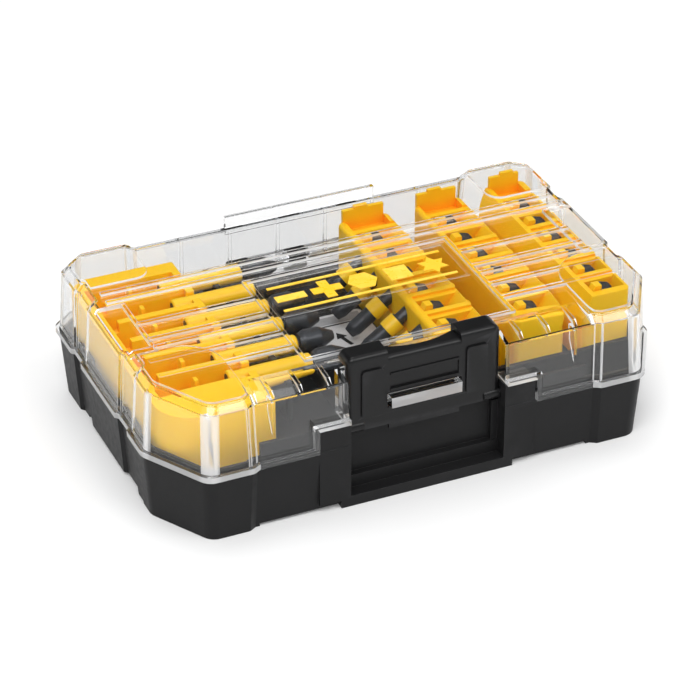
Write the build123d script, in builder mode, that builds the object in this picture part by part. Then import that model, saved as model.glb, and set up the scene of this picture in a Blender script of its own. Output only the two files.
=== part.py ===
from build123d import *
from math import cos, hypot, radians, sin, sqrt
import os

os.makedirs("parts", exist_ok=True)

# Case outline, measured at the rim
case_width = 205.0
case_depth = 128.6
front_step = 1.6
back_step = 3.0
jog_from_side = 34.5
jog_run = 2.6
front_chamfer_x = 15.5
front_chamfer_y = 26.5
back_chamfer_x = 10.0
back_chamfer_y = 8.5
groove_depth = 1.3
groove_run = 1.5
front_groove = (-24.0, -12.5)
back_groove = (25.5, 35.5)
front_corner_radius = 6.0
back_corner_radius = 4.0
jog_radius = 1.0
groove_radius = 0.4

# Heights from the surface that the case stands on
base_height = 26.6
lid_height = 28.9
foot_height = 1.2
foot_y = 31.0
lid_top = base_height + lid_height

# Hinge at the back
ear_radius = 2.6
hinge_gap = 0.5
hinge_rise = 4.4
hinge_pin_radius = 1.1
hinge_pin_overlap = 1.0
ear_width = 8.0
ear_spacing = 24.0
knuckle_gap = 0.4
ear_root_z = 12.0

# The origin is the middle of the box round the whole case, ears and all
hinge_overhang = hinge_gap + ear_radius
plan_y = -hinge_overhang / 2
side_x = case_width / 2
rim_front = plan_y - case_depth / 2
rim_back = plan_y + case_depth / 2
hinge_y = rim_back + hinge_gap
hinge_z = base_height + hinge_rise
jog_x = side_x - jog_from_side
foot_x = jog_x - 2.0

# Fits
running_fit = 0.05
press_gap = 0.02
part_gap = 0.3
slide_gap = 0.15
socket_gap = 0.1
seam_gap = 0.12
fuse_depth = 0.2

# Base shell
rim_overhang = 1.2
base_draft = 2.0
base_wall = 2.0
base_floor = 2.0
floor_top = foot_height + base_floor
ledge_z = base_height - 4.6
tongue_outer = 4.2
tongue_inner = 5.6
tongue_top = base_height + 3.0
tongue_back_y = rim_back - 14.75
upstand_top = base_height + 8.4
upstand_x = jog_x - 3.0

# Latch
latch_half_width = 30.3
latch_side_gap = 0.5
latch_setback = 7.05
latch_thickness = 2.8
latch_bottom = base_height + 2.3
latch_front = rim_front + latch_setback
latch_shoulder_x = 14.5
latch_corner_radius = 3.0
latch_edge_radius = 2.0
hook_edge_radius = 1.2
hook_bottom = lid_top + 0.6
latch_middle_top = hook_bottom + 1.5
latch_top = hook_bottom + 3.9
hook_back = latch_front + 9.3
middle_hook_back = latch_front + 7.2
scallop_half_width = 13.0
scallop_depth = 2.8
skirt_half_width = 14.0
skirt_drop = 2.0
skirt_thickness = 1.1
latch_pivot_y = latch_front + 1.4
latch_pivot_z = base_height + 3.9
latch_knuckle_radius = 2.2
latch_knuckle_length = 6.3
latch_pin_radius = 1.0
latch_pin_length = 9.0
latch_pin_depth = 3.6
pad_x = (latch_half_width - 13.8, latch_half_width - 5.3)
pad_z = (latch_bottom + 5.1, latch_top - 6.0)
pad_height = 0.8
pad_corner = 1.5
panel_z = (latch_top - 16.4, latch_top - 9.8)
panel_line = 0.9
panel_line_height = 0.5
panel_depth = 0.5

# Latch bay and front frame of the base
frame_half_width = latch_half_width + 4.2
frame_front = rim_front + 2.95
bay_back = latch_front + 4.0
bay_wall = 1.9
jamb_x = latch_half_width + 12.7
jamb_top = base_height + 9.2
bay_ledge_z = 9.5
bay_step_y = latch_front + 1.2
bay_lip_z = 4.4
bay_side_step = 2.6
bay_side_y = latch_front + 1.8

# Lid shell
lid_wall = 1.8
flange_thickness = 2.3
lid_foot_z = base_height + seam_gap
lid_foot_inset = 1.4
lid_shoulder_inset = 3.0
lid_shoulder_z = lid_top - 2.9
lid_top_inset = 5.6
bevel_back_y = rim_front + 16.85
bevel_x = jog_x - 2.0
gusset_x = (38.0, 49.0, 60.0)
gusset_width = 1.4
gusset_depth = 0.4
pocket_plane = latch_front + 4.2
pocket_half_width = latch_half_width + 0.9
notch_gap = 0.4
notch_rim = 2.0
side_step_x = side_x - 14.5
side_step_y = (-14.5, 17.0)
side_step_depth = 1.5
lug_half_width = 14.0
lug_z = (base_height + 10.3, base_height + 14.6)
lug_tip = latch_front - 2.4
slot_gap = 0.8
rib_width = 1.8
rib_height = 1.1
long_ribs = (25.8, 19.4)
short_ribs = (0.4, -11.0, -16.6)
front_ribs = (-25.6, -36.0)
rib_end_x = side_x - 9.5
title_half_width = 42.0
title_y = (bevel_back_y + 2.0, 12.8)
title_bead = 1.4
front_pad_place = (side_x - 14.5, rim_front + 21.85)
front_pad_size = (40.0, 50.0)
front_pad_corner = 16.0
back_pad_place = (side_x - 11.7, rim_back - 11.25)
back_pad_size = (40.0, 40.0)
back_pad_corner = 6.0
top_pad_height = 0.9
top_pad_inset = 6.4
stack_lip_half = 31.2
stack_lip_y = (rim_back - 6.95, rim_back - 4.95)
stack_lip_z = (lid_top - 5.5, lid_top + 3.1)
fin_thickness = 1.2
fin_depth = 5.5
middle_fin_x = jog_x - 8.0
corner_fin_x = side_x - front_chamfer_x - 3.0
back_rib_x = (10.0, 30.0, 50.0)
back_rib_height = 0.5

# Printed rows on the lid, and the fine line round them
stripe_half_length = 35.2
stripe_width = 1.3
stripe_y = (4.8, -11.9)
print_thickness = 0.3
icon_size = 12.0
icon_pitch = 14.5
label_half_width = 38.6
label_y = (-15.9, 9.2)
label_line = 0.7
label_height = 0.25

# Insert bits
bit_flats = 6.35
bit_length = 25.0
bit_edge = 0.5
bit_rows = 6

# Bit bars, with each bar's reach to the left and right of its bits
column_pitch = 31.75
column_names = ("left", "middle", "right")
bar_reach = ((9.0, 12.8), (8.0, 12.4), (11.5, 8.2))
bar_side_gap = 7.4
bar_top = lid_top - 9.0
bar_back = rim_back - 9.15
bar_front = rim_front + 27.85
bar_corner = 2.5
bar_edge_radius = 1.8
bar_wall = 1.6
first_row_margin = 15.4
last_row_margin = 7.2
socket_floor = 1.4
bit_sink = 0.5
cell_front = 3.8
cell_back = 5.2
cell_floor_z = bar_top - 9.5
flat_width = 2.4
flat_drop = 1.0
ramp_start = 4.4
ramp_margin = 1.0
clip_left = 6.0
clip_floor_z = bar_top - 4.5
clip_width = 3.6
clip_top = bar_top + 1.8
clip_slope = (6.9, 6.4, 5.0)
clip_slope_z = bar_top - 1.5
clip_hook = 2.2
trough_floor_z = bar_top - 3.5
back_wall_margin = 1.0
back_wall_top = bar_top + 4.9
hump_reach = (2.2, 3.4)
hump_top = bar_top + 6.1
bulge_radius = 4.0
bulge_reach = 2.0
bulge_z = (bar_top - 21.5, bar_top - 3.0)
flank_slope = (3.5, 9.0)
rest_thickness = 3.0
rest_y = (bar_front + 8.0, bar_back - 9.0)
stop_wall_gap = 0.4
stop_wall_thickness = 2.0
stop_wall_top = base_height + 1.4
stop_wall_end = side_x - 5.5

# Places that follow from the bars
bar_bottom = bar_top - bit_sink - bit_length - socket_floor
last_column = side_x - bar_side_gap - bar_reach[-1][1]
bar_columns = (last_column - 2 * column_pitch, last_column - column_pitch, last_column)
bars_left = bar_columns[0] - bar_reach[0][0]
first_row_y = bar_back - first_row_margin
row_pitch = (first_row_y - bar_front - last_row_margin) / (bit_rows - 1)

# Angled bits beside the left bar
angled_tilt = 35.6
angled_entry_z = bar_top - 6.5
angled_neck_radius = 2.4
angled_rod_radius = 3.1
angled_neck = (-3.4, 2.9)
angled_length = 20.6
angled_tip = 3.0
band_radius = 3.7
band_span = (3.4, 9.2)
angled_count = 5
slot_depth = 0.9
slot_half_width = 3.0
slot_rise = (-6.5, 4.5)

# Long bits and their holder
long_bit_count = 6
long_bit_z = lid_top - 14.5
holder_x = (-(side_x - 7.5), -(side_x - 48.0))
holder_y = (rim_front + 16.35, rim_back - 9.25)
holder_top = lid_top - 10.5
holder_corner = 14.0
holder_back_corner = 5.0
holder_right_corner = 1.0
holder_wall = 3.0
ridge = 2.9
holder_floor_z = holder_top - 12.0
web_x = (holder_x[1] - 5.5, holder_x[1] - 22.0)
web_thickness = 1.6
web_half_top = 1.4
web_drop = 0.4
notch_length = 3.4
notch_depth = 4.0
notch_over = 1.0
long_bit_first_y = holder_y[1] - 12.4
long_bit_last_y = holder_y[0] + 21.85
long_bit_pitch = (long_bit_first_y - long_bit_last_y) / (long_bit_count - 1)
sleeve_radius = 3.35
sleeve_edge = 0.9
sleeve_x = (holder_x[1] - 10.0, bars_left - 45.9)
shaft_radius = 2.2
nose_radius = 4.3
nose_collar = (1.0, 3.0)
nose_taper = 5.5
nose_tip_x = bars_left - 31.2
nose_tip_radius = 1.8
nose_round = 2.5

# Centre tray and card
tray_x = (holder_x[1] + 1.0, bars_left - 2.4)
tray_y = (rim_front + 16.35, rim_back - 10.75)
tray_top = lid_top - 31.5
tray_wall = 1.8
cradle_x = ((holder_x[1] + sleeve_x[1]) / 2, sleeve_x[1] + 7.5)
cradle_thickness = 2.4
cradle_cut = 4.0
card_x = (bars_left - 35.9, bars_left - 3.4)
card_y = (rim_front + 25.85, rim_back - 38.75)
card_thickness = 0.5
card_corner = 2.0


def rim_corners():
    """One turn of the rim's corners with their radii, from the front of the right side."""
    inner, outer = jog_x - jog_run / 2, jog_x + jog_run / 2
    right = [
        (inner, rim_front + front_step, jog_radius),
        (outer, rim_front, jog_radius),
        (side_x - front_chamfer_x, rim_front, front_corner_radius),
        (side_x, rim_front + front_chamfer_y, front_corner_radius),
    ]
    for low, high in (front_groove, back_groove):
        right += [
            (side_x, low - groove_run / 2, groove_radius),
            (side_x - groove_depth, low + groove_run / 2, groove_radius),
            (side_x - groove_depth, high - groove_run / 2, groove_radius),
            (side_x, high + groove_run / 2, groove_radius),
        ]
    right += [
        (side_x, rim_back - back_chamfer_y, back_corner_radius),
        (side_x - back_chamfer_x, rim_back, back_corner_radius),
        (outer, rim_back, jog_radius),
        (inner, rim_back - back_step, jog_radius),
    ]
    return right + [(-x, y, radius) for x, y, radius in reversed(right)]


def inset_points(distance):
    """The rim's corners moved inwards, so that each side shifts by the distance."""
    points = [(x, y) for x, y, radius in rim_corners()]
    moved = []
    for index, (x, y) in enumerate(points):
        before = points[index - 1]
        after = points[(index + 1) % len(points)]
        back_length = hypot(x - before[0], y - before[1])
        next_length = hypot(after[0] - x, after[1] - y)
        n1 = (-(y - before[1]) / back_length, (x - before[0]) / back_length)
        n2 = (-(after[1] - y) / next_length, (after[0] - x) / next_length)
        scale = distance / (1 + n1[0] * n2[0] + n1[1] * n2[1])
        moved.append((x + scale * (n1[0] + n2[0]), y + scale * (n1[1] + n2[1])))
    return moved


def draw_outline(distance, mode=Mode.ADD):
    """The case outline inset by a distance, as a face of the sketch in hand."""
    with BuildLine() as edge:
        radii = [radius for x, y, radius in rim_corners()]
        FilletPolyline(*inset_points(distance), radius=radii, close=True)
    make_face(edge.edges(), mode=mode)


def slab(x, y, z, mode=Mode.ADD):
    """A block between two X, two Y and two Z values."""
    middle = ((x[0] + x[1]) / 2, (y[0] + y[1]) / 2, (z[0] + z[1]) / 2)
    with Locations(middle):
        Box(abs(x[1] - x[0]), abs(y[1] - y[0]), abs(z[1] - z[0]), mode=mode)


def both_sides(x, y, z, mode=Mode.ADD):
    """A block on the right and its mirror image on the left."""
    slab(x, y, z, mode)
    slab((-x[0], -x[1]), y, z, mode)


def rod_along_x(x, y, z, radius, mode=Mode.ADD):
    """A round bar between two X values."""
    with Locations(Location(((x[0] + x[1]) / 2, y, z), (0, 90, 0))):
        Cylinder(radius, abs(x[1] - x[0]), mode=mode)


def base_inset(z):
    """How far the base's drafted wall stands inside the rim at a height."""
    return rim_overhang + base_draft * (1 - z / base_height)


def row_y(row):
    """Middle of a row of insert bits, counted from the back."""
    return first_row_y - row_pitch * row


def long_bit_y(index):
    """Axis of a long bit, counted from the back."""
    return long_bit_first_y - long_bit_pitch * index


def ear_centres():
    """Middles of the base's hinge ears along X."""
    return (-ear_spacing, 0, ear_spacing)


def save(part, name):
    """Names a finished piece and writes it."""
    part.label = name
    export_step(part, f"parts/{name}.step")


bay_half_width = latch_half_width + latch_side_gap
notch_half_width = jamb_x + notch_gap
notch_top = jamb_top + notch_gap
latch_back = latch_front + latch_thickness
beyond = 10.0

# Base shell: drafted tray, latch bay in front, hinge ears behind
with BuildPart() as base_shell:
    with BuildSketch(Plane.XY):
        draw_outline(base_inset(0))
    with BuildSketch(Plane.XY.offset(base_height)):
        draw_outline(base_inset(base_height))
    loft(ruled=True)
    # Relief under the middle leaves four corner feet
    slab((-foot_x, foot_x), (rim_front - beyond, rim_back + beyond), (-beyond, foot_height), Mode.SUBTRACT)
    slab((-case_width, case_width), (-foot_y, foot_y), (-beyond, foot_height), Mode.SUBTRACT)
    # Hollow, with a ledge inside the rim
    with BuildSketch(Plane.XY.offset(floor_top)):
        draw_outline(base_inset(floor_top) + base_wall)
    with BuildSketch(Plane.XY.offset(ledge_z)):
        draw_outline(base_inset(ledge_z) + base_wall)
    loft(ruled=True, mode=Mode.SUBTRACT)
    with BuildSketch(Plane.XY.offset(ledge_z)):
        draw_outline(tongue_inner)
    extrude(amount=base_height - ledge_z, mode=Mode.SUBTRACT)
    # Low tongue that centres the lid, and the taller upstand behind the front wall
    with BuildSketch(Plane.XY.offset(base_height)):
        draw_outline(tongue_outer)
        draw_outline(tongue_inner, Mode.SUBTRACT)
        with Locations((0, tongue_back_y + case_depth / 2)):
            Rectangle(2 * case_width, case_depth, mode=Mode.SUBTRACT)
    extrude(amount=tongue_top - base_height)
    with BuildSketch(Plane.XY.offset(base_height)):
        draw_outline(tongue_outer)
        draw_outline(tongue_inner, Mode.SUBTRACT)
        with Locations((0, bay_back + case_depth / 2)):
            Rectangle(2 * case_width, case_depth, mode=Mode.SUBTRACT)
        with Locations((-upstand_x - case_width / 2, 0), (upstand_x + case_width / 2, 0)):
            Rectangle(case_width, 2 * case_depth, mode=Mode.SUBTRACT)
    extrude(amount=upstand_top - base_height)
    # Front frame and the jambs beside the latch
    bay_inside = bay_back + bay_wall
    slab((-frame_half_width, frame_half_width), (frame_front, bay_inside), (0, base_height))
    slab((-jamb_x, jamb_x), (frame_front, bay_inside), (floor_top, jamb_top))
    bay_x = (-bay_half_width, bay_half_width)
    slab(bay_x, (frame_front - beyond, bay_back), (bay_ledge_z, lid_top), Mode.SUBTRACT)
    slab(bay_x, (frame_front - beyond, bay_step_y), (bay_lip_z, lid_top), Mode.SUBTRACT)
    side_step = (bay_half_width - bay_side_step, bay_half_width)
    both_sides(side_step, (bay_side_y, bay_back), (bay_ledge_z, latch_bottom - latch_knuckle_radius))
    # Holes for the two latch pins
    pin_x = (latch_half_width - latch_knuckle_length, bay_half_width + latch_pin_depth + press_gap)
    for side in (-1, 1):
        ends = (side * pin_x[0], side * pin_x[1])
        rod_along_x(ends, latch_pivot_y, latch_pivot_z, latch_pin_radius + press_gap, Mode.SUBTRACT)
    # Hinge ears on the back wall
    ear_wall_y = rim_back - back_step - base_inset(ear_root_z)
    for centre in ear_centres():
        with BuildSketch(Plane.YZ.offset(centre - ear_width / 2)):
            with BuildLine():
                Polyline(
                    (ear_wall_y - base_wall / 2, ear_root_z),
                    (hinge_y + ear_radius, hinge_z - 2.5 * ear_radius),
                    (hinge_y + ear_radius, hinge_z),
                    (hinge_y - ear_radius, hinge_z),
                    (hinge_y - ear_radius, base_height - hinge_gap),
                    (ear_wall_y - base_wall / 2, base_height - hinge_gap),
                    close=True,
                )
            make_face()
            with Locations((hinge_y, hinge_z)):
                Circle(ear_radius)
                Circle(hinge_pin_radius + press_gap, mode=Mode.SUBTRACT)
        extrude(amount=ear_width)
    # Cross walls that the bit bars rest on, and the wall in front of the bars
    for column, reach in zip(bar_columns, bar_reach):
        for y in rest_y:
            rest_x = (column - reach[0] + bar_wall, column + reach[1] - bar_wall)
            slab(rest_x, (y - rest_thickness / 2, y + rest_thickness / 2), (floor_top, bar_bottom))
    stop_back = bar_front - stop_wall_gap
    slab((bars_left, stop_wall_end), (stop_back - stop_wall_thickness, stop_back), (floor_top, stop_wall_top))


def lid_solid(skin):
    """The lid's outside for a skin of 0, or its hollow for a skin of the wall."""
    with BuildPart() as solid:
        with BuildSketch(Plane.XY.offset(lid_foot_z)):
            draw_outline(lid_foot_inset + skin)
        with BuildSketch(Plane.XY.offset(lid_shoulder_z - skin / 2)):
            draw_outline(lid_shoulder_inset + skin)
        loft(ruled=True)
        with BuildSketch(Plane.XY.offset(lid_shoulder_z - skin / 2)):
            draw_outline(lid_shoulder_inset + skin)
        with BuildSketch(Plane.XY.offset(lid_top - skin)):
            draw_outline(lid_top_inset + skin / 2)
        loft(ruled=True)
        # Sloping front edge between the corner blocks
        edge_y = rim_front + front_step + lid_shoulder_inset
        with BuildSketch(Plane.YZ.offset(-bevel_x - skin)):
            with BuildLine():
                Polyline(
                    (rim_front - beyond, lid_shoulder_z - skin),
                    (edge_y, lid_shoulder_z - skin),
                    (bevel_back_y, lid_top - skin),
                    (bevel_back_y, lid_top + beyond),
                    (rim_front - beyond, lid_top + beyond),
                    close=True,
                )
            make_face()
        extrude(amount=2 * (bevel_x + skin), mode=Mode.SUBTRACT)
        # Lower steps at the middle of the left and right edges
        step_y = (side_step_y[0] - skin, side_step_y[1] + skin)
        step_z = (lid_top - side_step_depth - skin, lid_top + beyond)
        both_sides((side_step_x - skin, case_width), step_y, step_z, Mode.SUBTRACT)
        # Pocket that the latch closes into
        pocket_x = pocket_half_width + skin
        pocket_y = (rim_front - beyond, pocket_plane + skin)
        slab((-pocket_x, pocket_x), pocket_y, (0, lid_top + beyond), Mode.SUBTRACT)
    return solid.part


lid_outside = lid_solid(0)
lid_hollow = lid_solid(lid_wall)

# Lid shell: clear cover with rim flange, lug, ribs and hinge knuckles
with BuildPart() as lid_shell:
    add(lid_outside)
    with BuildSketch(Plane.XY.offset(lid_foot_z)):
        draw_outline(0)
    extrude(amount=flange_thickness)
    add(lid_hollow, mode=Mode.SUBTRACT)
    # Notch round the base's jambs, edged by the flange
    flange_y = rim_front + front_step
    notch_edge = notch_half_width + notch_rim
    wall_y = flange_y + lid_foot_inset + lid_wall
    slab(
        (-pocket_half_width, pocket_half_width),
        (rim_front - beyond, pocket_plane),
        (base_height, lid_foot_z + flange_thickness),
        Mode.SUBTRACT,
    )
    both_sides((notch_half_width, notch_edge), (flange_y, wall_y), (lid_foot_z, notch_top + notch_rim))
    both_sides((pocket_half_width, notch_edge), (flange_y, wall_y), (notch_top, notch_top + notch_rim))
    slab(
        (-notch_half_width, notch_half_width),
        (rim_front - beyond, pocket_plane + lid_wall + part_gap),
        (0, notch_top),
        Mode.SUBTRACT,
    )
    # Lug that comes through the latch
    slab((-lug_half_width, lug_half_width), (lug_tip, pocket_plane + lid_wall / 2), lug_z)
    # Ribs across the top
    rib_z = (lid_top - lid_wall / 2, lid_top + rib_height)
    for y in long_ribs:
        slab((-rib_end_x, rib_end_x), (y - rib_width / 2, y + rib_width / 2), rib_z)
    for y in short_ribs:
        span = (y - rib_width / 2, y + rib_width / 2)
        both_sides((title_half_width, side_step_x), span, rib_z)
    for y in front_ribs:
        span = (y - rib_width / 2, y + rib_width / 2)
        both_sides((title_half_width, rib_end_x), span, rib_z)
    # Raised corner pads, inside the outline of the top
    with BuildSketch(Plane.XY.offset(lid_top - lid_wall / 2)):
        for side in (-1, 1):
            with Locations((side * front_pad_place[0], front_pad_place[1])):
                RectangleRounded(*front_pad_size, front_pad_corner)
            with Locations((side * back_pad_place[0], back_pad_place[1])):
                RectangleRounded(*back_pad_size, back_pad_corner)
        draw_outline(top_pad_inset, Mode.INTERSECT)
    extrude(amount=lid_wall / 2 + top_pad_height)
    # Bead round the title panel
    with BuildSketch(Plane.XY.offset(lid_top - lid_wall / 2)):
        with Locations((0, (title_y[0] + title_y[1]) / 2)):
            Rectangle(2 * title_half_width, title_y[1] - title_y[0])
            inner_depth = title_y[1] - title_y[0] - 2 * title_bead
            Rectangle(2 * (title_half_width - title_bead), inner_depth, mode=Mode.SUBTRACT)
    extrude(amount=lid_wall / 2 + rib_height)
    # Fine raised line round the printed rows
    with BuildSketch(Plane.XY.offset(lid_top - lid_wall / 2)):
        with Locations((0, (label_y[0] + label_y[1]) / 2)):
            label_depth = label_y[1] - label_y[0]
            Rectangle(2 * label_half_width, label_depth)
            Rectangle(2 * (label_half_width - label_line), label_depth - 2 * label_line, mode=Mode.SUBTRACT)
    extrude(amount=lid_wall / 2 + label_height)
    # Small gussets on the sloping front edge
    for x in gusset_x:
        for side in (-1, 1):
            with BuildSketch(Plane.YZ.offset(side * x - gusset_width / 2)):
                with BuildLine():
                    Polyline(
                        (flange_y + lid_shoulder_inset + gusset_depth, lid_shoulder_z - gusset_depth),
                        (flange_y + lid_shoulder_inset + 6 * gusset_depth, lid_top - gusset_depth),
                        (bevel_back_y + 2 * gusset_depth, lid_top),
                        (bevel_back_y + 2 * gusset_depth, lid_top - gusset_depth),
                        close=True,
                    )
                make_face()
            extrude(amount=gusset_width)
    # Stacking lip along the back
    slab((-stack_lip_half, stack_lip_half), stack_lip_y, stack_lip_z)
    # Pointed fins inside the front wall
    for x, wall_front, foot_z in (
        (middle_fin_x, flange_y, upstand_top),
        (corner_fin_x, rim_front, tongue_top),
    ):
        for side in (-1, 1):
            with BuildSketch(Plane.YZ.offset(side * x - fin_thickness / 2)):
                with BuildLine():
                    Polyline(
                        (wall_front + lid_shoulder_inset + lid_wall / 2, lid_shoulder_z - lid_wall),
                        (wall_front + lid_shoulder_inset + fin_depth, lid_shoulder_z - lid_wall),
                        (wall_front + lid_shoulder_inset + fin_depth, foot_z + 2 * fin_depth),
                        (wall_front + lid_foot_inset + lid_wall, foot_z + 2 * part_gap),
                        (wall_front + lid_foot_inset + lid_wall / 2, foot_z + 2 * part_gap),
                        close=True,
                    )
                make_face()
            extrude(amount=fin_thickness)
    # Upright ribs inside the back wall
    back_wall_y = rim_back - back_step - lid_shoulder_inset - lid_wall
    for x in back_rib_x:
        both_sides(
            (x - fin_thickness / 2, x + fin_thickness / 2),
            (back_wall_y - back_rib_height, back_wall_y + lid_wall / 2),
            (hinge_z + ear_radius, lid_top - lid_wall),
        )
    # Hinge knuckles between the base's ears
    knuckle_x = (ear_width / 2 + knuckle_gap, ear_spacing - ear_width / 2 - knuckle_gap)
    arm_y = (rim_back - back_step - lid_foot_inset - lid_wall, hinge_y)
    both_sides(knuckle_x, arm_y, (hinge_z - ear_radius / 2, hinge_z + ear_radius))
    for side in (-1, 1):
        ends = (side * knuckle_x[0], side * knuckle_x[1])
        rod_along_x(ends, hinge_y, hinge_z, ear_radius)
        rod_along_x(ends, hinge_y, hinge_z, hinge_pin_radius + running_fit, Mode.SUBTRACT)

# Hinge pin through the ears and knuckles
with BuildPart() as hinge_pin:
    pin_end = ear_spacing + ear_width / 2 + hinge_pin_overlap
    rod_along_x((-pin_end, pin_end), hinge_y, hinge_z, hinge_pin_radius)
    chamfer(hinge_pin.edges().filter_by(GeomType.CIRCLE), 0.3)

# Latch: hooked plate with raised shoulders, a slot for the lug and knuckles below
with BuildPart() as latch:
    latch_x = (-latch_half_width, latch_half_width)
    slab(latch_x, (latch_front, latch_back), (latch_bottom, latch_middle_top))
    slab(latch_x, (latch_front, middle_hook_back), (hook_bottom, latch_middle_top))
    scallop_radius = (scallop_half_width**2 + scallop_depth**2) / (2 * scallop_depth)
    scallop_y = middle_hook_back - scallop_depth + scallop_radius
    with Locations((0, scallop_y, (hook_bottom + latch_middle_top) / 2)):
        Cylinder(scallop_radius, latch_middle_top - hook_bottom, mode=Mode.SUBTRACT)
    skirt_z = (latch_bottom - skirt_drop, latch_bottom + skirt_drop)
    slab((-skirt_half_width, skirt_half_width), (latch_front, latch_front + skirt_thickness), skirt_z)
    both_sides((latch_shoulder_x, latch_half_width), (latch_front, hook_back), (hook_bottom, latch_top))
    both_sides((latch_shoulder_x, latch_half_width), (latch_front, latch_back), (latch_bottom, latch_top))
    top_sides = latch.edges().filter_by(Axis.Y).filter_by(lambda e: abs(e.center().Z - latch_top) < 0.1)
    fillet(top_sides.filter_by(lambda e: abs(e.center().X) > latch_half_width - 0.1), latch_corner_radius)
    top_front = latch.edges().filter_by(Axis.X).filter_by(lambda e: abs(e.center().Y - latch_front) < 0.1)
    fillet(top_front.filter_by(lambda e: e.center().Z > hook_bottom), latch_edge_radius)
    top_back = latch.edges().filter_by(Axis.X).filter_by(lambda e: abs(e.center().Z - latch_top) < 0.1)
    fillet(top_back.filter_by(lambda e: e.center().Y > latch_back), hook_edge_radius)
    # Slot for the lug
    slot_x = lug_half_width + slot_gap
    slot_z = (lug_z[0] - slot_gap, lug_z[1] + slot_gap)
    slab((-slot_x, slot_x), (latch_front - beyond, latch_back + beyond), slot_z, Mode.SUBTRACT)
    # Sunk middle panel with two raised lines
    panel_half = latch_shoulder_x - panel_line
    sunk = (latch_front - beyond, latch_front + panel_depth)
    slab((-panel_half, panel_half), sunk, panel_z, Mode.SUBTRACT)
    line_y = (latch_front - panel_line_height, latch_front + panel_depth)
    for z in panel_z:
        slab((-panel_half, panel_half), line_y, (z - panel_line / 2, z + panel_line / 2))
    # Raised grip pads
    for side in (-1, 1):
        with BuildSketch(Plane.XZ.offset(-latch_front - fuse_depth)):
            with Locations((side * (pad_x[0] + pad_x[1]) / 2, (pad_z[0] + pad_z[1]) / 2)):
                RectangleRounded(pad_x[1] - pad_x[0], pad_z[1] - pad_z[0], pad_corner)
        extrude(amount=pad_height + fuse_depth)
    # Knuckles on the pins
    for side in (-1, 1):
        ends = (side * (latch_half_width - latch_knuckle_length), side * latch_half_width)
        rod_along_x(ends, latch_pivot_y, latch_pivot_z, latch_knuckle_radius)
        rod_along_x(ends, latch_pivot_y, latch_pivot_z, latch_pin_radius + running_fit, Mode.SUBTRACT)

# Two short pins from the jambs into the latch
for side, name in ((-1, "latch_pin_left"), (1, "latch_pin_right")):
    outer_end = bay_half_width + latch_pin_depth
    with BuildPart() as latch_pin:
        rod_along_x(
            (side * (outer_end - latch_pin_length), side * outer_end),
            latch_pivot_y,
            latch_pivot_z,
            latch_pin_radius,
        )
    save(latch_pin.part, name)

# Two printed stripes and a row of plain drive shapes between them
with BuildPart() as lid_stripes:
    for y in stripe_y:
        slab(
            (-stripe_half_length, stripe_half_length),
            (y - stripe_width / 2, y + stripe_width / 2),
            (lid_top, lid_top + print_thickness),
        )

icon_y = (stripe_y[0] + stripe_y[1]) / 2
icon_x = [icon_pitch * (index - 2) for index in range(5)]
with BuildPart() as lid_icons:
    with BuildSketch(Plane.XY.offset(lid_top)):
        with Locations((icon_x[0], icon_y)):
            Rectangle(icon_size, icon_size / 3)
        with Locations((icon_x[1], icon_y)):
            Rectangle(icon_size, icon_size / 3)
            Rectangle(icon_size / 3, icon_size)
        with Locations((icon_x[2], icon_y)):
            RegularPolygon(icon_size / 2, 6)
        with Locations((icon_x[3], icon_y)):
            Rectangle(icon_size * 0.75, icon_size * 0.75)
        with Locations((icon_x[4], icon_y)):
            RegularPolygon(icon_size / 2, 3, rotation=30)
            RegularPolygon(icon_size / 2, 3, rotation=90)
    extrude(amount=print_thickness)

# Long bit holder: six rows of cells with peaked webs, and open sockets on its right
with BuildPart() as driver_holder:
    with BuildSketch(Plane.XY.offset(floor_top)):
        with Locations(((holder_x[0] + holder_x[1]) / 2, (holder_y[0] + holder_y[1]) / 2)):
            Rectangle(holder_x[1] - holder_x[0], holder_y[1] - holder_y[0])
    extrude(amount=holder_top - floor_top)
    left_edges = driver_holder.edges().filter_by(Axis.Z).group_by(Axis.X)[0].sort_by(Axis.Y)
    fillet(left_edges[0], holder_corner)
    left_edges = driver_holder.edges().filter_by(Axis.Z).group_by(Axis.X)[0].sort_by(Axis.Y)
    fillet(left_edges[-1], holder_back_corner)
    fillet(driver_holder.edges().filter_by(Axis.Z).group_by(Axis.X)[-1], holder_right_corner)
    cell_half = (long_bit_pitch - ridge) / 2
    cell_x = (holder_x[0] + holder_wall, holder_x[1] - holder_wall)
    for index in range(long_bit_count):
        y = long_bit_y(index)
        slab(cell_x, (y - cell_half, y + cell_half), (holder_floor_z, holder_top + beyond), Mode.SUBTRACT)
        for x in web_x:
            with BuildSketch(Plane.YZ.offset(x - web_thickness / 2)):
                with BuildLine():
                    Polyline(
                        (y - cell_half - fuse_depth, holder_floor_z - fuse_depth),
                        (y + cell_half + fuse_depth, holder_floor_z - fuse_depth),
                        (y + web_half_top, holder_top - web_drop),
                        (y - web_half_top, holder_top - web_drop),
                        close=True,
                    )
                make_face()
            extrude(amount=web_thickness)
        # Open socket for the sleeve
        socket_x = (sleeve_x[0] - slide_gap, holder_x[1] + beyond)
        rod_along_x(socket_x, y, long_bit_z, sleeve_radius + slide_gap, Mode.SUBTRACT)
        throat = 0.8 * sleeve_radius
        slab(socket_x, (y - throat, y + throat), (long_bit_z, holder_top + beyond), Mode.SUBTRACT)
    # Small notch cells in the left edge
    for index in range(long_bit_count - 1):
        y = long_bit_y(index) - long_bit_pitch / 2
        notch_x = (cell_x[0], cell_x[0] + notch_length)
        notch_y = (y - ridge / 2 - notch_over, y + ridge / 2 + notch_over)
        slab(notch_x, notch_y, (holder_top - notch_depth, holder_top), Mode.SUBTRACT)
save(driver_holder.part, "long_bit_holder")

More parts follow.
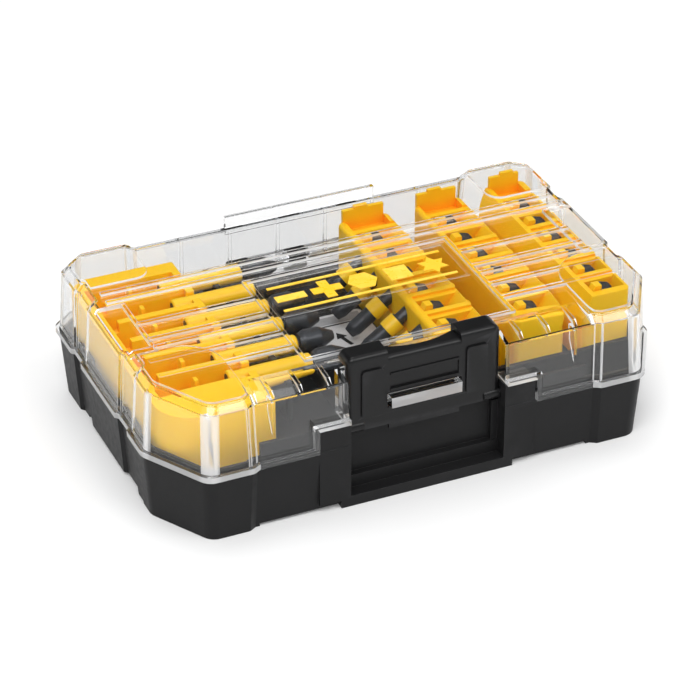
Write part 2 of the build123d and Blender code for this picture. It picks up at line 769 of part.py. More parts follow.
# Long bits: a steel body with a bullet nose, in a moulded sleeve
for index in range(long_bit_count):
    y = long_bit_y(index)
    with BuildPart() as long_bit_body:
        with BuildSketch(Plane.XZ.offset(-y)):
            with BuildLine():
                Polyline(
                    (sleeve_x[0], long_bit_z),
                    (sleeve_x[0], long_bit_z + shaft_radius),
                    (sleeve_x[1] + nose_collar[0], long_bit_z + shaft_radius),
                    (sleeve_x[1] + nose_collar[0], long_bit_z + sleeve_radius),
                    (sleeve_x[1] + nose_collar[1], long_bit_z + nose_radius),
                    (nose_tip_x - nose_taper, long_bit_z + nose_radius),
                    (nose_tip_x, long_bit_z + nose_tip_radius),
                    (nose_tip_x, long_bit_z),
                    close=True,
                )
            make_face()
        revolve(axis=Axis((0, y, long_bit_z), (1, 0, 0)))
        fillet(
            long_bit_body.edges()
            .filter_by(GeomType.CIRCLE)
            .filter_by(lambda e: abs(e.radius - nose_radius) < 0.01)
            .sort_by(Axis.X)[-1],
            nose_round,
        )
    save(long_bit_body.part, f"long_bit_{index + 1}")
    with BuildPart() as sleeve:
        rod_along_x(sleeve_x, y, long_bit_z, sleeve_radius)
        fillet(sleeve.edges().filter_by(GeomType.CIRCLE), sleeve_edge)
        bore_x = (sleeve_x[0] - beyond, sleeve_x[1] + beyond)
        rod_along_x(bore_x, y, long_bit_z, shaft_radius + press_gap, Mode.SUBTRACT)
    save(sleeve.part, f"long_bit_sleeve_{index + 1}")

# Centre tray: raised deck on side walls, with two cradles for the long bits
with BuildPart() as centre_tray:
    slab(tray_x, tray_y, (floor_top, tray_top))
    inside_x = (tray_x[0] + tray_wall, tray_x[1] - tray_wall)
    inside_y = (tray_y[0] + tray_wall, tray_y[1] - tray_wall)
    slab(inside_x, inside_y, (floor_top - beyond, tray_top - tray_wall), Mode.SUBTRACT)
    cradle_y = (
        long_bit_y(long_bit_count - 1) - long_bit_pitch / 2,
        long_bit_y(0) + long_bit_pitch / 2,
    )
    for x in cradle_x:
        half = cradle_thickness / 2
        slab((x - half, x + half), cradle_y, (tray_top - tray_wall / 2, long_bit_z))
    for index in range(long_bit_count):
        y = long_bit_y(index)
        for x, radius in zip(cradle_x, (sleeve_radius, nose_radius)):
            rod_along_x((x - cradle_cut, x + cradle_cut), y, long_bit_z, radius + part_gap, Mode.SUBTRACT)
save(centre_tray.part, "centre_tray")

with BuildPart() as insert_card:
    slab(card_x, card_y, (tray_top, tray_top + card_thickness))
    fillet(insert_card.edges().filter_by(Axis.Z), card_corner)
save(insert_card.part, "insert_card")

# The angled bits point down to the left from the left bar
angled_way = (-cos(radians(angled_tilt)), 0, -sin(radians(angled_tilt)))


def angled_y(index):
    """Axis of an angled bit, between two rows of upright bits."""
    return row_y(index) - row_pitch / 2


def angled_plane(index):
    """Plane square to an angled bit where its axis meets the bar's side."""
    return Plane(origin=(bars_left, angled_y(index), angled_entry_z), x_dir=(0, 1, 0), z_dir=angled_way)


def cut_cell(column, right, y):
    """Takes a bit's cell out of the bar in hand: socket, well, ramp to the right and clip recess."""
    back_plane = Plane.XZ.offset(-(y + cell_back))
    well_left = column - bit_flats / 2 - part_gap
    with BuildSketch(back_plane) as well:
        with BuildLine():
            Polyline(
                (well_left, cell_floor_z),
                (column + ramp_start, cell_floor_z),
                (right - ramp_margin, bar_top),
                (right - ramp_margin, clip_top + beyond),
                (well_left, clip_top + beyond),
                close=True,
            )
        make_face()
    extrude(well.sketch, amount=cell_front + cell_back, mode=Mode.SUBTRACT)
    recess_x = (column - clip_left, well_left)
    slab(recess_x, (y - cell_front, y + cell_back), (clip_floor_z, clip_top + beyond), Mode.SUBTRACT)
    with BuildSketch(Plane.XY.offset(bar_bottom + socket_floor)) as socket:
        with Locations((column, y)):
            RegularPolygon((bit_flats / 2 + socket_gap) * 2 / sqrt(3), 6, rotation=30)
    socket_depth = cell_floor_z - bar_bottom - socket_floor + part_gap
    extrude(socket.sketch, amount=socket_depth, mode=Mode.SUBTRACT)
    # Lower flat behind the cell
    flat_y = (y + cell_back, y + cell_back + flat_width)
    flat_x = (column - clip_left, right + beyond)
    slab(flat_x, flat_y, (bar_top - flat_drop, clip_top + beyond), Mode.SUBTRACT)


def add_clip(column, y):
    """The springy finger left of a bit, whose head reaches over the bit's edge."""
    well_left = column - bit_flats / 2 - part_gap
    finger_front = y - cell_front + part_gap
    with BuildSketch(Plane.XZ.offset(-(finger_front + clip_width))) as finger:
        with BuildLine():
            Polyline(
                (column - clip_slope[0], clip_floor_z - fuse_depth),
                (column - clip_slope[1], clip_slope_z),
                (column - clip_slope[2], clip_top),
                (column - clip_hook, clip_top),
                (column - clip_hook, bar_top),
                (well_left, bar_top - fuse_depth),
                (well_left, clip_floor_z - fuse_depth),
                close=True,
            )
        make_face()
    extrude(finger.sketch, amount=clip_width)


def cut_angled_sockets():
    """Takes the tall slots and round sockets of the angled bits out of the left bar."""
    for index in range(angled_count):
        y = angled_y(index)
        with BuildSketch(Plane.YZ.offset(bars_left - beyond)) as slot:
            with BuildLine():
                Polyline(
                    (y - slot_half_width, angled_entry_z + slot_rise[0]),
                    (y + slot_half_width, angled_entry_z + slot_rise[0]),
                    (y, angled_entry_z + slot_rise[1]),
                    close=True,
                )
            make_face()
        extrude(slot.sketch, amount=beyond + slot_depth, mode=Mode.SUBTRACT)
        with BuildSketch(angled_plane(index).offset(angled_neck[0] - slide_gap)) as neck:
            Circle(angled_neck_radius + slide_gap)
        extrude(neck.sketch, amount=angled_neck[1] - angled_neck[0], mode=Mode.SUBTRACT)


def bit_bar(column, reach, name):
    """A bar with a cell and clip for each bit, and a raised wall at the back."""
    left, right = column - reach[0], column + reach[1]
    with BuildPart() as bar:
        slab((left, right), (bar_front, bar_back), (bar_bottom, bar_top))
        fillet(bar.edges().filter_by(Axis.Z), bar_corner)
        if name == "right":
            # The end bar's left flank slopes in towards its top
            with BuildSketch(Plane.XZ.offset(-bar_back - beyond)):
                with BuildLine():
                    Polyline(
                        (left - flank_slope[0], bar_top - flank_slope[1]),
                        (left, bar_top - flank_slope[1]),
                        (left + flank_slope[0], bar_top),
                        (left + flank_slope[0], bar_top + beyond),
                        (left - flank_slope[0], bar_top + beyond),
                        close=True,
                    )
                make_face()
            extrude(amount=bar_back - bar_front + 2 * beyond, mode=Mode.SUBTRACT)
        else:
            fillet(bar.faces().sort_by(Axis.Z)[-1].edges(), bar_edge_radius)
            for row in range(bit_rows):
                bulge_x = right + bulge_reach - bulge_radius
                with Locations((bulge_x, row_y(row), (bulge_z[0] + bulge_z[1]) / 2)):
                    Cylinder(bulge_radius, bulge_z[1] - bulge_z[0])
        for row in range(bit_rows):
            cut_cell(column, right, row_y(row))
        for row in range(bit_rows):
            add_clip(column, row_y(row))
        # Shallow trough and raised back wall with its hump
        trough_y = (row_y(0) + cell_back + flat_width, bar_back - bar_wall)
        trough_x = (column - clip_left, right - bar_corner)
        slab(trough_x, trough_y, (trough_floor_z, clip_top + beyond), Mode.SUBTRACT)
        wall_y = (bar_back - bar_wall, bar_back)
        wall_x = (column - clip_left - back_wall_margin, right - bar_corner)
        slab(wall_x, wall_y, (trough_floor_z, back_wall_top))
        hump_x = (column - hump_reach[0], column + hump_reach[1])
        slab(hump_x, wall_y, (trough_floor_z, hump_top))
        if name == "left":
            cut_angled_sockets()
    return bar.part


for column, reach, name in zip(bar_columns, bar_reach, column_names):
    save(bit_bar(column, reach, name), f"bit_bar_{name}")

# Upright insert bits: hex shank, waist and a tapered head at the bottom
bit_low = bar_bottom + socket_floor
for column, name in zip(bar_columns, column_names):
    for row in range(bit_rows):
        with BuildPart() as insert_bit:
            with BuildSketch(Plane.XY.offset(bit_low)):
                with Locations((column, row_y(row))):
                    RegularPolygon(bit_flats / sqrt(3), 6, rotation=30)
            extrude(amount=bit_length)
            chamfer(insert_bit.faces().sort_by(Axis.Z)[-1].edges(), bit_edge)
        save(insert_bit.part, f"insert_bit_{name}_{row + 1}")

# Angled bits and their bands
for index in range(angled_count):
    with BuildPart() as angled_bit:
        with BuildSketch(angled_plane(index).offset(angled_neck[0])):
            Circle(angled_neck_radius)
        extrude(amount=angled_neck[1] - angled_neck[0])
        with BuildSketch(angled_plane(index).offset(angled_neck[1])):
            Circle(angled_rod_radius)
        extrude(amount=angled_length - angled_tip - angled_neck[1])
        with BuildSketch(angled_plane(index).offset(angled_length - angled_tip)):
            Circle(angled_rod_radius)
        with BuildSketch(angled_plane(index).offset(angled_length)):
            Circle(angled_rod_radius * 0.7)
        loft()
    save(angled_bit.part, f"angled_bit_{index + 1}")
    with BuildPart() as band:
        with BuildSketch(angled_plane(index).offset(band_span[0])):
            Circle(band_radius)
            Circle(angled_rod_radius + press_gap, mode=Mode.SUBTRACT)
        extrude(amount=band_span[1] - band_span[0])
    save(band.part, f"angled_bit_band_{index + 1}")

for piece, name in (
    (base_shell, "base_shell"),
    (lid_shell, "lid_shell"),
    (hinge_pin, "hinge_pin"),
    (latch, "latch"),
    (lid_stripes, "lid_stripes"),
    (lid_icons, "lid_icons"),
):
    save(piece.part, name)
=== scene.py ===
import logging
from dataclasses import dataclass, field
from enum import Enum
from math import cos, radians, sin

import bpy
from mathutils import Matrix, Vector


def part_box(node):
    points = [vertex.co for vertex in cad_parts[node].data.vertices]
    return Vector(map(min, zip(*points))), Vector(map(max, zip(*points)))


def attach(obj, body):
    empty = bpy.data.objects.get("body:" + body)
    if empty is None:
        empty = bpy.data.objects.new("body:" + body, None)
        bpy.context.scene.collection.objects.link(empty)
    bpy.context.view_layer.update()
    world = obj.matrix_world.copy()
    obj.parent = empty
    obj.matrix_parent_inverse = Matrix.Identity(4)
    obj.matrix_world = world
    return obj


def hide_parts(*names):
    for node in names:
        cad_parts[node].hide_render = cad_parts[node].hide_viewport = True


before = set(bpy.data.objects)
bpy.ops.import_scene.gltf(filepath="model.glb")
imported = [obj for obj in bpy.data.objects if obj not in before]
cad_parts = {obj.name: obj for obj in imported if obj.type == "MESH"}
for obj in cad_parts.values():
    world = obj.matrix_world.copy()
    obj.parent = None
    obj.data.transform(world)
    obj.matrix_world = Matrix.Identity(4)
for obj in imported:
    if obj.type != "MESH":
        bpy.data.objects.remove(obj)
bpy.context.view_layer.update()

logging.basicConfig(level=logging.INFO, format="%(message)s")
LOG = logging.getLogger("bit_case")

Colour = tuple[float, float, float]
Span = tuple[float, float]
Point = tuple[float, float]
Place = tuple[float, float, float]
Socket = bpy.types.NodeSocket
Source = Socket | Colour | float

MM = 0.001
PICTURE_SIDE = 700
WHITE: Colour = (1.0, 1.0, 1.0)
WHOLE: Span = (0.0, 1.0)

# Corners closer than this become one, and faces flatter than this are joined
MERGE_DISTANCE = 2e-6
FLAT_DEGREES = 0.6
# Edges sharper than these are rounded or stay crisp
BEVEL_DEGREES = 28.0
CREASE_DEGREES = 32.0
NORMAL_WEIGHT = 50
# Place of the edge finish in a shell's materials
EDGE_FINISH = 1
BUMP_DISTANCE = 0.2 * MM


class Body(Enum):
    """The three rigid bodies of the case."""

    BASE = "base"
    LID = "lid"
    LATCH = "latch"


class Slot(Enum):
    """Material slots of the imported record."""

    BASE = "base_plastic"
    TRAY = "tray_plastic"
    CLEAR = "clear_plastic"
    LATCH = "latch_plastic"
    PRINT = "yellow_print"
    YELLOW = "yellow_plastic"
    SLEEVE = "yellow_sleeve"
    BIT = "bit_steel"
    PIN = "pin_steel"
    CARD = "card"


def deselect() -> None:
    """Clears the selection, so that an operator acts only on what is picked next."""
    if bpy.context.object and bpy.context.object.mode != "OBJECT":
        bpy.ops.object.mode_set(mode="OBJECT")
    bpy.ops.object.select_all(action="DESELECT")


def pick(piece: bpy.types.Object) -> None:
    """Makes one object the only selected and active one.

    Args:
        piece: The object to work on.
    """
    deselect()
    piece.select_set(True)
    bpy.context.view_layer.objects.active = piece


def settle(piece: bpy.types.Object) -> None:
    """Moves an object's place into its mesh.

    Args:
        piece: The object whose transform is applied.
    """
    pick(piece)
    bpy.ops.object.transform_apply(location=True, rotation=True, scale=True)


def apply_modifiers(piece: bpy.types.Object) -> None:
    """Applies every modifier of a piece in order.

    Args:
        piece: The object to finish.
    """
    pick(piece)
    for modifier in list(piece.modifiers):
        bpy.ops.object.modifier_apply(modifier=modifier.name)


def bevel_edges(piece: bpy.types.Object, width: float, segments: int = 2) -> None:
    """Rounds the sharp edges of a piece, with the piece's last material on the roundings.

    Args:
        piece: The object to round.
        width: Bevel width in metres.
        segments: Steps across the rounding.
    """
    bevel = piece.modifiers.new("rounding", "BEVEL")
    bevel.width = width
    bevel.segments = segments
    bevel.limit_method = "ANGLE"
    bevel.angle_limit = radians(BEVEL_DEGREES)
    bevel.use_clamp_overlap = True
    bevel.harden_normals = False
    bevel.material = len(piece.data.materials) - 1
    apply_modifiers(piece)


def smooth(piece: bpy.types.Object) -> None:
    """Shades a piece smooth across its shallow edges, with its broad faces kept flat to the light.

    Args:
        piece: The object to shade.
    """
    pick(piece)
    bpy.ops.object.shade_smooth_by_angle(angle=radians(CREASE_DEGREES))
    weighted = piece.modifiers.new("even_normals", "WEIGHTED_NORMAL")
    weighted.mode = "FACE_AREA"
    weighted.weight = NORMAL_WEIGHT
    weighted.keep_sharp = True
    apply_modifiers(piece)


def hand_over(piece: bpy.types.Object, body: Body) -> None:
    """Gives a finished piece its body.

    Args:
        piece: The finished piece.
        body: The body that it moves with.
    """
    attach(piece, body.value)
    LOG.info("piece %s: %d faces", piece.name, len(piece.data.polygons))


def recast(node: str, name: str, width: float, *finish: bpy.types.Material) -> bpy.types.Object:
    """A copy of a frame node with merged corners, flat faces joined and edges rounded.

    Args:
        node: The node to start from.
        name: Name of the new piece.
        width: Rounding of its edges in metres.
        *finish: The material of its faces, and a second one where its roundings differ.

    Returns:
        The new piece, which stands for the node.
    """
    piece = bpy.data.objects.new(name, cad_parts[node].data.copy())
    bpy.context.scene.collection.objects.link(piece)
    piece.data.materials.clear()
    for material in finish:
        piece.data.materials.append(material)
    pick(piece)
    bpy.ops.object.mode_set(mode="EDIT")
    bpy.ops.mesh.select_all(action="SELECT")
    bpy.ops.mesh.remove_doubles(threshold=MERGE_DISTANCE)
    bpy.ops.mesh.dissolve_limited(angle_limit=radians(FLAT_DEGREES))
    bpy.ops.object.mode_set(mode="OBJECT")
    if width > 0:
        bevel_edges(piece, width)
    smooth(piece)
    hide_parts(node)
    return piece


@dataclass(frozen=True)
class Pattern:
    """A noise pattern: its cells in a metre, its octaves and how strong the small ones are."""

    cells: float
    octaves: float
    small: float


GRAIN = Pattern(cells=2400.0, octaves=2.0, small=0.55)
FLOW = Pattern(cells=30.0, octaves=3.0, small=0.5)
FINE = Pattern(cells=400.0, octaves=2.0, small=0.5)
WEAR = Pattern(cells=160.0, octaves=3.0, small=0.6)
# How much of the fine pattern is laid on the grain
FINE_SHARE = 0.35
# Parts of the noise that are stretched to the full range of a mask
MARK_SPAN: Span = (0.3, 0.7)
WEAR_SPAN: Span = (0.35, 0.65)
# Least and full wear and painted highlight along an edge, and the pointiness where they start and are full
WEAR_RANGE: Span = (0.25, 1.0)
EDGE_SPAN: Span = (0.58, 0.7)


class NodeTree:
    """Short calls for building the nodes of a material, a group or the world."""

    def __init__(self, tree: bpy.types.NodeTree) -> None:
        """Keeps the tree.

        Args:
            tree: The node tree to fill.
        """
        self.tree = tree

    def add(self, kind: str, **values: object) -> bpy.types.Node:
        """Adds a node and sets its plain properties.

        Args:
            kind: The node's type name.
            **values: Properties of the node.

        Returns:
            The new node.
        """
        node = self.tree.nodes.new(kind)
        for key, value in values.items():
            setattr(node, key, value)
        return node

    def put(self, value: Source, target: Socket) -> None:
        """Links a socket to another one, or sets it to a colour or a number.

        Args:
            value: What goes in.
            target: The socket that takes it.
        """
        if isinstance(value, Socket):
            self.tree.links.new(value, target)
        elif isinstance(value, tuple):
            target.default_value = (*value, 1.0)
        else:
            target.default_value = value

    def maths(self, operation: str, *values: Source, clamp: bool = False) -> Socket:
        """Works out one number from others.

        Args:
            operation: The operation's type name.
            *values: Sockets or numbers, in the node's order.
            clamp: Whether the result is kept between 0 and 1.

        Returns:
            The number's socket.
        """
        node = self.add("ShaderNodeMath", operation=operation, use_clamp=clamp)
        for value, target in zip(values, node.inputs):
            self.put(value, target)
        return node.outputs[0]

    def noise(self, place: Socket, pattern: Pattern, cells: Socket | None = None) -> Socket:
        """A noise texture on a place socket.

        Args:
            place: Where the pattern is read.
            pattern: The pattern.
            cells: A socket that sets the cells in a metre in its stead.

        Returns:
            The noise's socket.
        """
        node = self.add("ShaderNodeTexNoise")
        self.put(place, node.inputs["Vector"])
        self.put(pattern.cells if cells is None else cells, node.inputs["Scale"])
        self.put(pattern.octaves, node.inputs["Detail"])
        self.put(pattern.small, node.inputs["Roughness"])
        return node.outputs["Fac"]

    def spread(self, source: Socket, span: tuple[Source, Source], out: Span = WHOLE) -> Socket:
        """A clamped map of one range to another.

        Args:
            source: Value in.
            span: Start and end of the range in.
            out: Values out at the start and at the end.

        Returns:
            The mapped value's socket.
        """
        node = self.add("ShaderNodeMapRange")
        self.put(source, node.inputs["Value"])
        for name, value in zip(("From Min", "From Max", "To Min", "To Max"), (*span, *out)):
            self.put(value, node.inputs[name])
        return node.outputs["Result"]

    def mix(self, factor: Socket, first: Source, second: Source, kind: str = "RGBA") -> Socket:
        """A colour or a number between two by a mask.

        Args:
            factor: The mask.
            first: What shows where the mask is 0.
            second: What shows where the mask is 1.
            kind: The node's data type.

        Returns:
            The mixed socket.
        """
        node = self.add("ShaderNodeMix", data_type=kind)
        self.put(factor, node.inputs["Factor"])
        self.put(first, node.inputs["A"])
        self.put(second, node.inputs["B"])
        return node.outputs["Result"]

    def relief(self, height: Socket, strength: float, shader: bpy.types.Node) -> None:
        """Raises a shader's surface by a height.

        Args:
            height: The height's socket.
            strength: How much of it shows.
            shader: The shader that is bumped.
        """
        bump = self.add("ShaderNodeBump")
        self.put(strength, bump.inputs["Strength"])
        self.put(BUMP_DISTANCE, bump.inputs["Distance"])
        self.put(height, bump.inputs["Height"])
        self.put(bump.outputs["Normal"], shader.inputs["Normal"])


def new_group(
    name: str, entries: dict[str, float], exits: tuple[str, ...]
) -> tuple[NodeTree, bpy.types.Node, bpy.types.Node]:
    """A new node group whose sockets are all numbers.

    Args:
        name: Name of the group.
        entries: Names of its sockets in, with their first values.
        exits: Names of its sockets out.

    Returns:
        Its tree, the node where values come in and the node where they leave.
    """
    group = bpy.data.node_groups.new(name, "ShaderNodeTree")
    for entry, start in entries.items():
        socket = group.interface.new_socket(entry, in_out="INPUT", socket_type="NodeSocketFloat")
        socket.default_value = start
    for leave in exits:
        group.interface.new_socket(leave, in_out="OUTPUT", socket_type="NodeSocketFloat")
    tree = NodeTree(group)
    return tree, tree.add("NodeGroupInput"), tree.add("NodeGroupOutput")


def new_material(name: str) -> tuple[bpy.types.Material, NodeTree, bpy.types.Node]:
    """A new material with nodes.

    Args:
        name: Name of the material.

    Returns:
        The material, its tree and its shader.
    """
    material = bpy.data.materials.new(name)
    material.use_nodes = True
    return material, NodeTree(material.node_tree), material.node_tree.nodes["Principled BSDF"]


def moulded_grain_group() -> bpy.types.NodeTree:
    """Fine spark-eroded grain with broad flow marks, shared by all the finishes.

    Returns:
        A group with the patterns' sizes in, and height, mottle and polish out.
    """
    entries = {"Grain": GRAIN.cells, "Flow": FLOW.cells, "Streak": FINE_SHARE}
    tree, entry, leave = new_group("moulded_grain", entries, ("Height", "Mottle", "Polish"))
    place = tree.add("ShaderNodeTexCoord").outputs["Object"]
    grain = tree.noise(place, GRAIN, entry.outputs["Grain"])
    flow = tree.noise(place, FLOW, entry.outputs["Flow"])
    fine = tree.noise(place, FINE)
    tree.put(tree.maths("MULTIPLY_ADD", fine, entry.outputs["Streak"], grain), leave.inputs["Height"])
    tree.put(tree.spread(flow, MARK_SPAN), leave.inputs["Mottle"])
    tree.put(tree.spread(fine, MARK_SPAN), leave.inputs["Polish"])
    return tree.tree


def edge_wear_and_highlight_group() -> bpy.types.NodeTree:
    """Paler edges: partly wear where hands and the mould's parting rub the surface, partly a painted
    highlight along every sharp edge.

    Returns:
        A group with the pointiness of its start and end in, and a broken edge mask out.
    """
    start, end = EDGE_SPAN
    tree, entry, leave = new_group("edge_wear_and_highlight", {"Start": start, "End": end}, ("Mask",))
    point = tree.add("ShaderNodeNewGeometry").outputs["Pointiness"]
    place = tree.add("ShaderNodeTexCoord").outputs["Object"]
    edge = tree.spread(point, (entry.outputs["Start"], entry.outputs["End"]))
    patch = tree.spread(tree.noise(place, WEAR), WEAR_SPAN, WEAR_RANGE)
    tree.put(tree.maths("MULTIPLY", edge, patch, clamp=True), leave.inputs["Mask"])
    return tree.tree


@dataclass(frozen=True)
class SharedMarks:
    """The node groups that the finishes share."""

    grain: bpy.types.NodeTree
    edge: bpy.types.NodeTree


@dataclass(frozen=True)
class MouldedPlastic:
    """An opaque moulded plastic or card with grain, flow marks, paler edges that are partly rubbed and
    partly a painted highlight, and, where given, painted shade in its recesses.
    """

    name: str
    colour: Colour
    shade: Colour
    edge: Colour
    roughness: Span = (0.42, 0.55)
    depth: float = 0.05
    scatter: float = 0.0
    scatter_radius: Colour = (1.0, 0.45, 0.1)
    scatter_scale: float = 1.5 * MM
    specular: float = 0.5
    # Painted shade: a darker colour laid in the piece's own recesses, with how far, over what range and with
    # how many samples its occlusion is read
    painted_recess_shade: Colour | None = None
    painted_shade_reach: float = 7.0 * MM
    painted_shade_span: Span = (0.25, 0.9)
    painted_shade_samples: int = 6

    def material(self, marks: SharedMarks) -> bpy.types.Material:
        """Builds the finish.

        Args:
            marks: The shared groups.

        Returns:
            The material.
        """
        material, tree, shader = new_material(self.name)
        grain = tree.add("ShaderNodeGroup", node_tree=marks.grain)
        edge = tree.add("ShaderNodeGroup", node_tree=marks.edge)
        body = tree.mix(grain.outputs["Mottle"], self.shade, self.colour)
        # Paler edge colour: partly rubbed wear, partly a painted highlight
        tint = tree.mix(edge.outputs["Mask"], body, self.edge)
        # Painted shade: recesses closed in by the piece's own shape take the darker recess colour, by
        # ambient occlusion
        if self.painted_recess_shade:
            occlusion_node = tree.add("ShaderNodeAmbientOcclusion", samples=self.painted_shade_samples, only_local=True)
            tree.put(self.painted_shade_reach, occlusion_node.inputs["Distance"])
            tint = tree.mix(tree.spread(occlusion_node.outputs["AO"], self.painted_shade_span), self.painted_recess_shade, tint)
        tree.put(tint, shader.inputs["Base Color"])
        tree.put(tree.spread(grain.outputs["Polish"], WHOLE, self.roughness), shader.inputs["Roughness"])
        tree.relief(grain.outputs["Height"], self.depth, shader)
        tree.put(self.specular, shader.inputs["Specular IOR Level"])
        if self.scatter:
            tree.put(self.scatter, shader.inputs["Subsurface Weight"])
            shader.inputs["Subsurface Radius"].default_value = self.scatter_radius
            tree.put(self.scatter_scale, shader.inputs["Subsurface Scale"])
        return material


@dataclass(frozen=True)
class ClearPlastic:
    """Polished clear plastic that lets lamps through to the contents."""

    name: str
    tint: Colour
    index: float = 1.58
    clarity: float = 1.0
    haze: Span = (0.0, 0.015)
    open_tint: Colour = (0.975, 0.98, 0.982)
    inner_bounces: float = 1.5

    def material(self, marks: SharedMarks) -> bpy.types.Material:
        """Builds the finish, which is plain transparent for shadows and for light caught inside.

        Args:
            marks: The shared groups.

        Returns:
            The material.
        """
        material, tree, shader = new_material(self.name)
        tree.put(self.clarity, shader.inputs["Transmission Weight"])
        tree.put(self.index, shader.inputs["IOR"])
        tree.put(self.tint, shader.inputs["Base Color"])
        grain = tree.add("ShaderNodeGroup", node_tree=marks.grain)
        tree.put(tree.spread(grain.outputs["Mottle"], WHOLE, self.haze), shader.inputs["Roughness"])
        open_way = tree.add("ShaderNodeBsdfTransparent")
        tree.put(self.open_tint, open_way.inputs["Color"])
        path = tree.add("ShaderNodeLightPath")
        shaded = tree.maths("MAXIMUM", path.outputs["Is Shadow Ray"], path.outputs["Is Diffuse Ray"])
        caught = tree.maths("GREATER_THAN", path.outputs["Glossy Depth"], self.inner_bounces)
        choose = tree.add("ShaderNodeMixShader")
        sources = (tree.maths("MAXIMUM", shaded, caught), shader.outputs["BSDF"], open_way.outputs["BSDF"])
        for source, target in zip(sources, choose.inputs):
            tree.put(source, target)
        tree.put(choose.outputs["Shader"], material.node_tree.nodes["Material Output"].inputs["Surface"])
        return material


@dataclass(frozen=True)
class ToolSteel:
    """Steel with drawn streaks, from black oxide to bright wire."""

    name: str
    dark: Colour
    light: Colour
    roughness: Span = (0.3, 0.45)
    metallic: float = 0.85
    streak_cells: float = 180.0
    rubbed_gain: float = 2.2
    depth: float = 0.08

    def material(self, marks: SharedMarks) -> bpy.types.Material:
        """Builds the finish.

        Args:
            marks: The shared groups.

        Returns:
            The material.
        """
        material, tree, shader = new_material(self.name)
        grain = tree.add("ShaderNodeGroup", node_tree=marks.grain)
        tree.put(self.streak_cells, grain.inputs["Flow"])
        edge = tree.add("ShaderNodeGroup", node_tree=marks.edge)
        rubbed = tuple(min(1.0, self.rubbed_gain * level) for level in self.light)
        streaks = tree.mix(grain.outputs["Mottle"], self.dark, self.light)
        tree.put(tree.mix(edge.outputs["Mask"], streaks, rubbed), shader.inputs["Base Color"])
        tree.put(tree.spread(grain.outputs["Polish"], WHOLE, self.roughness), shader.inputs["Roughness"])
        tree.put(self.metallic, shader.inputs["Metallic"])
        tree.relief(grain.outputs["Height"], self.depth, shader)
        return material


BLACK_CASE = MouldedPlastic(
    "black_case_plastic", (0.0125, 0.0125, 0.013), (0.011, 0.011, 0.0115), (0.022, 0.022, 0.023),
    roughness=(0.38, 0.46), depth=0.04, specular=0.18,
)
# Finish of the black roundings: its lighter colour is a painted highlight along the edges, with a glossier
# surface
BLACK_EDGE = MouldedPlastic(
    "black_edge_painted_highlight", (0.028, 0.028, 0.029), (0.025, 0.025, 0.026), (0.036, 0.036, 0.038),
    roughness=(0.26, 0.34), depth=0.02, specular=0.65,
)
BLACK_TRAY = MouldedPlastic(
    "black_tray_plastic", (0.013, 0.013, 0.014), (0.0115, 0.0115, 0.0125), (0.03, 0.03, 0.033),
    specular=0.25,
)
BLACK_LATCH = MouldedPlastic(
    "black_latch_plastic", (0.0062, 0.0062, 0.0066), (0.0054, 0.0054, 0.0058), (0.024, 0.024, 0.026),
    roughness=(0.28, 0.36), depth=0.03, specular=0.3,
)
# The holder's recess colour is painted shade: a deeper orange laid in its own cells and recesses
YELLOW_HOLDER = MouldedPlastic(
    "yellow_holder_plastic", (1.0, 0.585, 0.008), (0.99, 0.56, 0.007), (1.0, 0.62, 0.02),
    roughness=(0.36, 0.46), scatter=0.3, specular=0.3, painted_recess_shade=(1.0, 0.37, 0.004),
)
YELLOW_SLEEVE = MouldedPlastic(
    "yellow_sleeve_plastic", (1.0, 0.6, 0.01), (0.99, 0.57, 0.009), (1.0, 0.66, 0.04),
    roughness=(0.3, 0.4), scatter=0.25,
)
YELLOW_INK = MouldedPlastic(
    "yellow_ink", (1.0, 0.6, 0.02), (0.98, 0.55, 0.015), (1.0, 0.7, 0.1), roughness=(0.25, 0.35),
)
GREY_CARD = MouldedPlastic(
    "grey_card", (0.6, 0.6, 0.61), (0.54, 0.54, 0.55), (0.7, 0.7, 0.7), roughness=(0.6, 0.75),
)
CARD_INK = MouldedPlastic(
    "grey_card_ink", (0.3, 0.3, 0.305), (0.27, 0.27, 0.275), (0.36, 0.36, 0.37), roughness=(0.55, 0.7),
)
CLEAR_LID = ClearPlastic("clear_lid_plastic", (0.968, 0.971, 0.974))
# Lid roundings and strips: its lower clarity gives a whitish diffuse share that is a painted highlight, with
# a rougher surface
CLEAR_EDGE = ClearPlastic("clear_edge_painted_highlight", (0.95, 0.952, 0.957), clarity=0.62, haze=(0.12, 0.2))
FROSTED_LUG = ClearPlastic("frosted_lug_plastic", (0.55, 0.55, 0.56), clarity=0.45, haze=(0.25, 0.4))
BLACK_OXIDE = ToolSteel("black_oxide_steel", (0.045, 0.048, 0.054), (0.07, 0.074, 0.082), metallic=0.55)
BRIGHT_WIRE = ToolSteel(
    "bright_wire_steel", (0.5, 0.5, 0.52), (0.62, 0.62, 0.64), roughness=(0.2, 0.32), metallic=1.0
)


